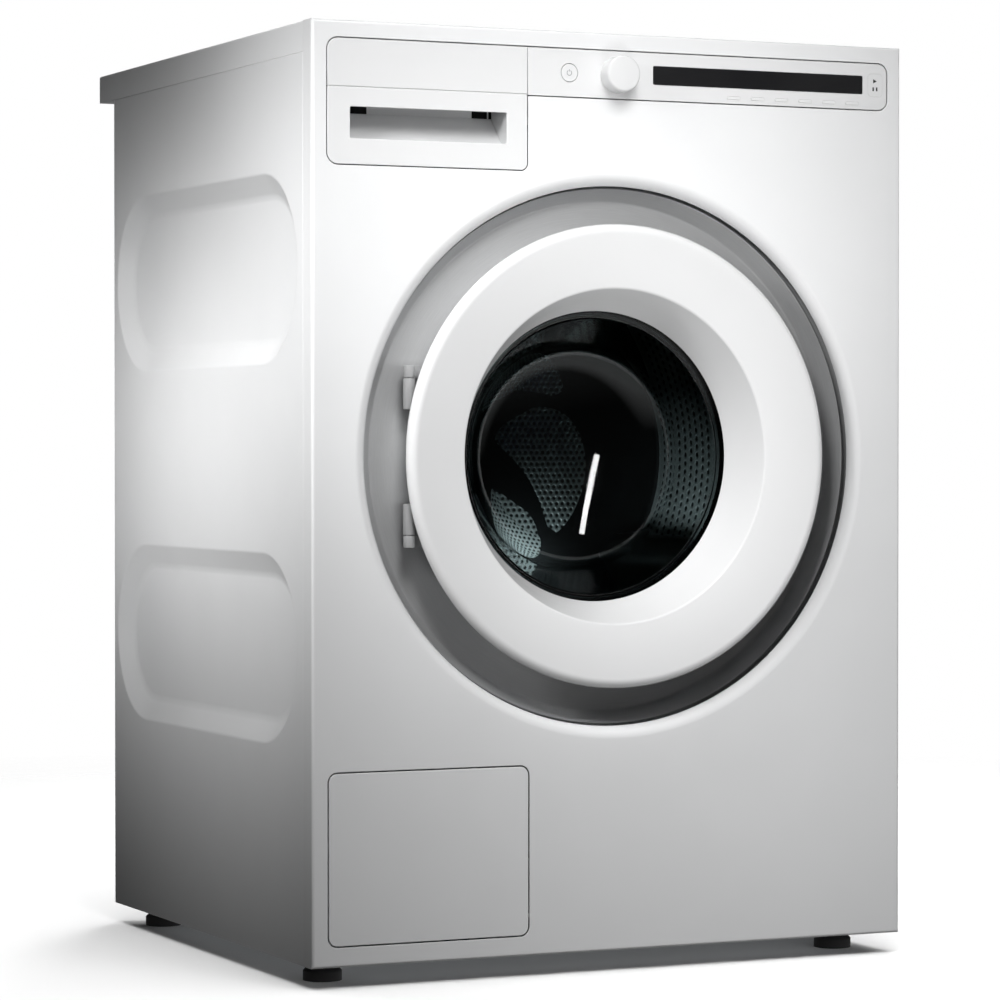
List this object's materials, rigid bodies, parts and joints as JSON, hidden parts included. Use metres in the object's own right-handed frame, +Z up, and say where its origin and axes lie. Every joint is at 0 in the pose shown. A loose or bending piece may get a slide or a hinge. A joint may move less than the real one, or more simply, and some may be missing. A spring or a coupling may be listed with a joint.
{
  "type": "front load washing machine",
  "caption": "Freestanding white front-loading washing machine with round smoked-glass door, detergent drawer, dial, key strip, service flap and a drum hung in a sprung tub.",
  "frame": {"origin": "centre of the bounding box's footprint, on the floor under the feet", "axes": "+X to the right of someone facing the door, +Y from the door to the rear, +Z up"},
  "size_m": [0.595, 0.589, 0.85],
  "materials": {
    "white_paint": "satin white enamel",
    "white_laminate": "white laminate on board",
    "white_gloss": "gloss white",
    "steel": "brushed",
    "galvanised": "galvanised sheet",
    "dark_glass": "smoked, polished",
    "display_black": "gloss black",
    "seal_rubber": "matte grey",
    "black_rubber": "matte black",
    "black_plastic": "fine matte",
    "grey_plastic": "fine matte",
    "tub_plastic": "moulded",
    "aluminium": "die cast",
    "weight_iron": "cast",
    "motor_paint": "dark enamel",
    "rod_chrome": "polished"
  },
  "bodies": {
    "cabinet": {"base_pan": "galvanised", "left_side_panel": "white_paint", "right_side_panel": "white_paint", "rear_panel": "galvanised", "rear_service_cover": "galvanised", "front_panel": "white_paint", "worktop": "white_laminate", "cabinet_screws": "steel", "control_fascia": "white_gloss", "display_window": "display_black", "dispenser_housing": "grey_plastic", "inlet_valve": "grey_plastic", "drain_pump": "grey_plastic", "drain_outlet": "grey_plastic", "mains_gland": "black_plastic", "steel_seal_ring": "steel", "tub_bellows": "seal_rubber", "door_lock": "black_plastic", "hinge_bracket": "steel", "hinge_pins": "steel", "shock_cylinders": "black_plastic", "inner_hoses": "black_rubber"},
    "tub": {"tub_front_shell": "tub_plastic", "tub_rear_shell": "tub_plastic", "counterweights": "weight_iron", "drum_bearings": "steel", "motor": "motor_paint", "shock_rods": "rod_chrome", "heating_element": "steel", "drive_belt": "black_rubber"},
    "drum": {"drum_shell": "steel", "drum_spider": "aluminium", "drum_lifters": "grey_plastic", "drum_pulley": "aluminium"},
    "motor_rotor": {"motor_pulley": "steel"},
    "door": {"door_frame": "white_gloss", "door_inner_frame": "white_gloss", "door_glass": "dark_glass", "door_seal": "seal_rubber", "door_hinge_arms": "steel", "door_latch_hook": "steel"},
    "drawer": {"drawer_front": "white_gloss", "drawer_tray": "grey_plastic", "drawer_siphon_cap": "grey_plastic"},
    "flap": {"service_flap": "white_gloss"},
    "filter": {"drain_filter": "grey_plastic"},
    "impeller": {"pump_impeller": "black_plastic"},
    "knob": {"program_knob": "white_gloss"},
    "power": {"power_button": "white_gloss"},
    "start": {"start_button": "white_gloss"},
    "key_1": {"option_key_1": "white_gloss"},
    "key_2": {"option_key_2": "white_gloss"},
    "key_3": {"option_key_3": "white_gloss"},
    "key_4": {"option_key_4": "white_gloss"},
    "key_5": {"option_key_5": "white_gloss"},
    "key_6": {"option_key_6": "white_gloss"},
    "foot_front_left": {"foot_front_left": "black_rubber"},
    "foot_front_right": {"foot_front_right": "black_rubber"},
    "foot_rear_left": {"foot_rear_left": "black_rubber"},
    "foot_rear_right": {"foot_rear_right": "black_rubber"}
  },
  "joints": [
    {"name": "door_hinge", "type": "hinge", "parent": "cabinet", "child": "door", "pos_m": [-0.202, -0.273, 0.4676], "axis": [0, 0, -1], "range_deg": [0, 120]},
    {"name": "drawer_slide", "type": "slide", "parent": "cabinet", "child": "drawer", "axis": [0, -1, 0], "range_m": [0, 0.22]},
    {"name": "flap_hinge", "type": "hinge", "parent": "cabinet", "child": "flap", "pos_m": [-0.185, -0.2735, 0.0548], "axis": [1, 0, 0], "range_deg": [0, 90]},
    {"name": "filter_turn", "type": "hinge", "parent": "cabinet", "child": "filter", "pos_m": [-0.185, -0.219, 0.105], "axis": [0, -1, 0], "range_deg": [0, 270]},
    {"name": "impeller_spin", "type": "hinge", "parent": "cabinet", "child": "impeller", "pos_m": [-0.185, -0.079, 0.105], "axis": [0, 1, 0], "continuous": true},
    {"name": "tub_ride", "type": "slide", "parent": "cabinet", "child": "tub", "axis": [0, 0, 1], "range_m": [-0.008, 0.008], "stiffness_N_per_m": 20000, "springref_m": 0.02255},
    {"name": "drum_spin", "type": "hinge", "parent": "tub", "child": "drum", "pos_m": [0, 0.021, 0.4676], "axis": [0, 1, 0], "continuous": true},
    {"name": "motor_spin", "type": "hinge", "parent": "tub", "child": "motor_rotor", "pos_m": [0.07, 0.161, 0.128], "axis": [0, 1, 0], "continuous": true},
    {"name": "knob_turn", "type": "hinge", "parent": "cabinet", "child": "knob", "pos_m": [0, -0.287, 0.8127], "axis": [0, -1, 0], "continuous": true},
    {"name": "power_press", "type": "slide", "parent": "cabinet", "child": "power", "axis": [0, 1, 0], "range_m": [0, 0.0012], "stiffness_N_per_m": 800},
    {"name": "start_press", "type": "slide", "parent": "cabinet", "child": "start", "axis": [0, 1, 0], "range_m": [0, 0.0012], "stiffness_N_per_m": 800},
    {"name": "key_1_press", "type": "slide", "parent": "cabinet", "child": "key_1", "axis": [0, 1, 0], "range_m": [0, 0.0006], "stiffness_N_per_m": 800},
    {"name": "key_2_press", "type": "slide", "parent": "cabinet", "child": "key_2", "axis": [0, 1, 0], "range_m": [0, 0.0006], "stiffness_N_per_m": 800},
    {"name": "key_3_press", "type": "slide", "parent": "cabinet", "child": "key_3", "axis": [0, 1, 0], "range_m": [0, 0.0006], "stiffness_N_per_m": 800},
    {"name": "key_4_press", "type": "slide", "parent": "cabinet", "child": "key_4", "axis": [0, 1, 0], "range_m": [0, 0.0006], "stiffness_N_per_m": 800},
    {"name": "key_5_press", "type": "slide", "parent": "cabinet", "child": "key_5", "axis": [0, 1, 0], "range_m": [0, 0.0006], "stiffness_N_per_m": 800},
    {"name": "key_6_press", "type": "slide", "parent": "cabinet", "child": "key_6", "axis": [0, 1, 0], "range_m": [0, 0.0006], "stiffness_N_per_m": 800},
    {"name": "foot_front_left_turn", "type": "hinge", "parent": "cabinet", "child": "foot_front_left", "pos_m": [-0.262, -0.215, 0.03], "axis": [0, 0, 1], "continuous": true},
    {"name": "foot_front_right_turn", "type": "hinge", "parent": "cabinet", "child": "foot_front_right", "pos_m": [0.262, -0.215, 0.03], "axis": [0, 0, 1], "continuous": true},
    {"name": "foot_rear_left_turn", "type": "hinge", "parent": "cabinet", "child": "foot_rear_left", "pos_m": [-0.262, 0.205, 0.03], "axis": [0, 0, 1], "continuous": true},
    {"name": "foot_rear_right_turn", "type": "hinge", "parent": "cabinet", "child": "foot_rear_right", "pos_m": [0.262, 0.205, 0.03], "axis": [0, 0, 1], "continuous": true}
  ],
  "couplings": [
    {"joint": "motor_spin", "follows": "drum_spin", "ratio": 13.636}
  ]
}
